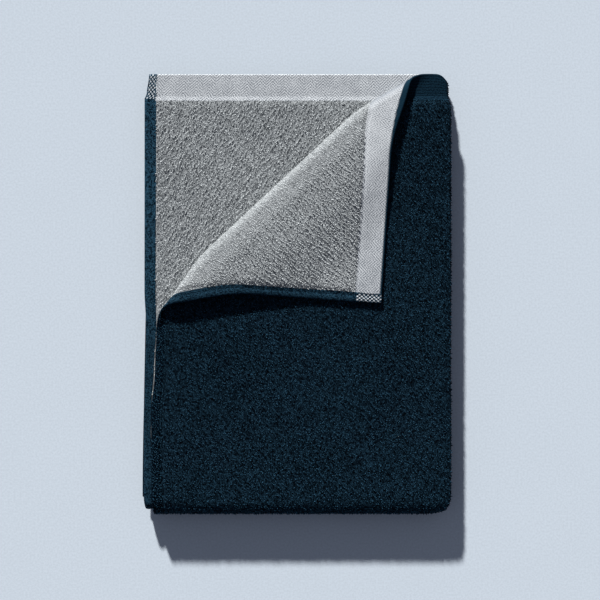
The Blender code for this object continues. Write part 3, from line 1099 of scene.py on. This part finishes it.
# Each hump turned by chance, leaning with the nap, and set in the frame of the cloth under it
def pileHumps(name, u, v, side, size, material, chance):
    onNavy = side > 0
    shape, shapeFaces = humpShape()
    middle, across, normal = clothFrame(u, v)
    normal = normal * side
    beside = np.cross(normal, across)
    ridge, ridgeSlope = napRidges(u, v)
    if onNavy:
        ridge, ridgeSlope = ridge * nap["navyShare"], ridgeSlope * nap["navyShare"]
    past, radius, onRoll, onFlap = cornerPlace(u, v)

    turn = chance.normal(pile["turn"], pile["turnSpread"], len(u)) * -side
    grown = size * chance.uniform(*pile["grown"], len(u))
    tall = chance.uniform(*pile["tall"], len(u))
    tall = tall * (1 + nap["tall"] * np.clip(ridge, nap["lowest"], nap["highest"]))
    if onNavy:
        tall = tall * (1 + toneOf["edgeTall"] * byFreeEdge(u, v, past))
        tone = navyTones(u, v, past, ridge, chance)
        lift = hemLift(u, v)
    else:
        tall = tall + (toneOf["rollTall"] + toneOf["rollTallKeeps"] * tall - tall) * onRoll
        tone = greyTones(v, past, radius, onRoll, onFlap, ridge, chance)
        lift = np.zeros_like(u)

    leaning = pile["lean"] * np.sin(u * pile["leanAcross"] + pile["leanShift"])
    leaning = leaning * np.cos(v * pile["leanAlong"])
    pulled = np.clip(ridgeSlope, -nap["mostPull"], nap["mostPull"]) * nap["pull"] * -side
    a = shape[None, :, 0] * grown[:, None] + shape[None, :, 2] * leaning[:, None]
    b = shape[None, :, 1] * grown[:, None] + pulled[:, None]
    c = pile["root"] + lift[:, None] + shape[None, :, 2] * tall[:, None]
    cos, sin = np.cos(turn)[:, None], np.sin(turn)[:, None]
    along, cross = a * cos - b * sin, a * sin + b * cos
    points = (
        middle[:, None, :]
        + across[:, None, :] * along[..., None]
        + beside[:, None, :] * cross[..., None]
        + normal[:, None, :] * c[..., None]
    )
    points[..., 2] = np.maximum(points[..., 2], 0.0)

    # How far up its hump each point lies, from 0 to 1: this and the tone give its colour, with painted shade
    # low on the hump. On the roll the low points are lifted towards the top colour, as part of the painted
    # highlight
    rise = np.clip((shape[:, 2] - shape[:, 2].min()) / np.ptp(shape[:, 2]), 0, 1)
    rise = np.broadcast_to(rise, (len(u), len(rise)))
    if not onNavy:
        rise = rise + (1 - rise) * toneOf["rollHighlightRise"] * onRoll[:, None]
    tone = np.broadcast_to(tone[:, None], rise.shape)

    pieces = []
    parts = max(1, math.ceil(len(u) / pile["mostHumps"]))
    order = np.argsort(v, kind="stable")
    for number, chosen in enumerate(np.array_split(order, parts), 1):
        faces = (shapeFaces[None] + np.arange(len(chosen))[:, None, None] * len(shape)).reshape(-1, 3)
        attributes = {"rise": rise[chosen], "tone": tone[chosen]}
        label = f"{name}{number}" if parts > 1 else name
        pieces.append(meshPiece(label, points[chosen].reshape(-1, 3), faces, material, attributes))
    print(name, len(u), "humps in", parts, "pieces")
    return pieces


# The pile of both faces: fine where it is seen from close by, and coarser at the sides and between the leaves
def allPile():
    chance = np.random.default_rng(pile["seed"])
    navy = pileMaterial("navyPile", yarn["navyShadedRoot"], yarn["navyTip"], pileLook["navyGrain"])
    grey = pileMaterial("greyPile", yarn["greyShadedRoot"], yarn["greyTip"], pileLook["greyGrain"])

    def onTopFold(u, v):
        return (v < frontEnd) & (u < stack["outerLeaf"] + foldArc / 2)

    def topOuter(u, v):
        return outerShown(u, v) & onTopFold(u, v)

    def sideOuter(u, v):
        return outerShown(u, v) & ~onTopFold(u, v)

    def topInner(u, v):
        x, y, _, _ = doubledCloth(u, v)
        past = pastCrease(x, y)[0]
        return innerShown(u, v) & (v < frontStart) & (past > -shown["beforeCrease"])

    def sideInner(u, v):
        return innerShown(u, v) & ~topInner(u, v)

    pieces = []
    for name, keep, side, pitch, reachAlong, material in (
        ("navyPileTop", topOuter, 1, pile["topPitch"], frontEnd, navy),
        ("navyPileSide", sideOuter, 1, pile["sidePitch"], cloth["length"], navy),
        ("greyPileTop", topInner, -1, pile["topPitch"], frontStart, grey),
        ("greyPileSide", sideInner, -1, pile["sidePitch"], cloth["length"], grey),
    ):
        u, v = humpPlaces(keep, side, reachAlong, pitch, chance)
        pieces += pileHumps(name, u, v, side, pitch / pile["topPitch"], material, chance)
    return pieces


# Floor, lights and camera. The key comes low from the free end and a little from the left
studio = {
    "floor": (0.722, 0.800, 0.886),
    "floorSize": 8.0,
    "floorLow": 0.955,
    "floorHigh": 1.045,
    "cloudScale": 14.0,
    "clouds": 0.3,
    "grainScale": 430.0,
    "grain": 2.6,
    "floorTone": 0.35,
    "key": 5.72,
    "keyColour": (1.0, 0.995, 0.973),
    "keyHeight": 23.5,
    "keyTurn": 15.8,
    "keyWidth": 3.2,
    "fill": 0.141,
    "fillColour": (0.72, 0.79, 1.0, 1.0),
    "frameWidth": 0.6942,
    "distance": 1.70,
    "aimZ": 0.025,
    "aim": (0.0023, -0.0061),
    "sensor": 36.0,
}


def floorAndLight():
    board = Board("paleFloor")
    place = board.objectPlace()
    clouds = board.noise(place, studio["cloudScale"], 3.0) * studio["clouds"]
    grain = (board.noise(place, studio["grainScale"], 1.0) - 0.5) * studio["grain"]
    share = (clouds + grain + studio["floorTone"]).clamped()
    shades = (studio["floorLow"], studio["floorHigh"])
    low, high = (tuple(c * shade for c in studio["floor"]) for shade in shades)
    material = board.finish(board.mix(share, low, high))
    bpy.ops.mesh.primitive_plane_add(size=studio["floorSize"], location=(0, 0, 0))
    floor = bpy.context.object
    floor.name = "floor"
    floor.data.materials.append(material)

    light = bpy.data.lights.new("key", "SUN")
    light.energy = studio["key"]
    light.color = studio["keyColour"]
    light.angle = math.radians(studio["keyWidth"])
    key = bpy.data.objects.new("key", light)
    key.rotation_euler = (math.radians(studio["keyHeight"] - 90), 0, math.radians(studio["keyTurn"]))
    bpy.context.scene.collection.objects.link(key)

    world = bpy.data.worlds.new("studio")
    world.use_nodes = True
    sky = world.node_tree.nodes["Background"]
    sky.inputs["Color"].default_value = studio["fillColour"]
    sky.inputs["Strength"].default_value = studio["fill"]
    bpy.context.scene.world = world


def overheadCamera():
    data = bpy.data.cameras.new("overhead")
    data.sensor_width = studio["sensor"]
    reach = studio["distance"] - studio["aimZ"]
    data.lens = studio["sensor"] * reach / studio["frameWidth"]
    camera = bpy.data.objects.new("overhead", data)
    camera.location = (studio["aim"][0] - slideXY[0], studio["aim"][1] - slideXY[1], studio["distance"])
    bpy.context.scene.collection.objects.link(camera)
    bpy.context.scene.camera = camera


overheadCamera()
floorAndLight()
bpy.context.scene.view_settings.view_transform = "Standard"
print("camera, floor and light set")

groundPiece = groundSheet(groundMaterial())
bandWeave = bandMaterial()
hemWeave = hemMaterial()
trims = [
    endBand("endBandTop", True, bandShape["cell"], bandWeave),
    endBand("endBandInside", False, bandShape["coarse"], bandWeave),
    sideHem("sideHemOuterLeaf", True, hemWeave),
    sideHem("sideHemInnerLeaf", False, hemWeave),
]
print("ground cloth, end bands and side hems made")
humps = allPile()

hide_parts("towel")
trims + humps
meshes = [piece.data for piece in (groundPiece, *trims, *humps)]
print("triangles in all:", sum(len(mesh.loops) - 2 * len(mesh.polygons) for mesh in meshes))
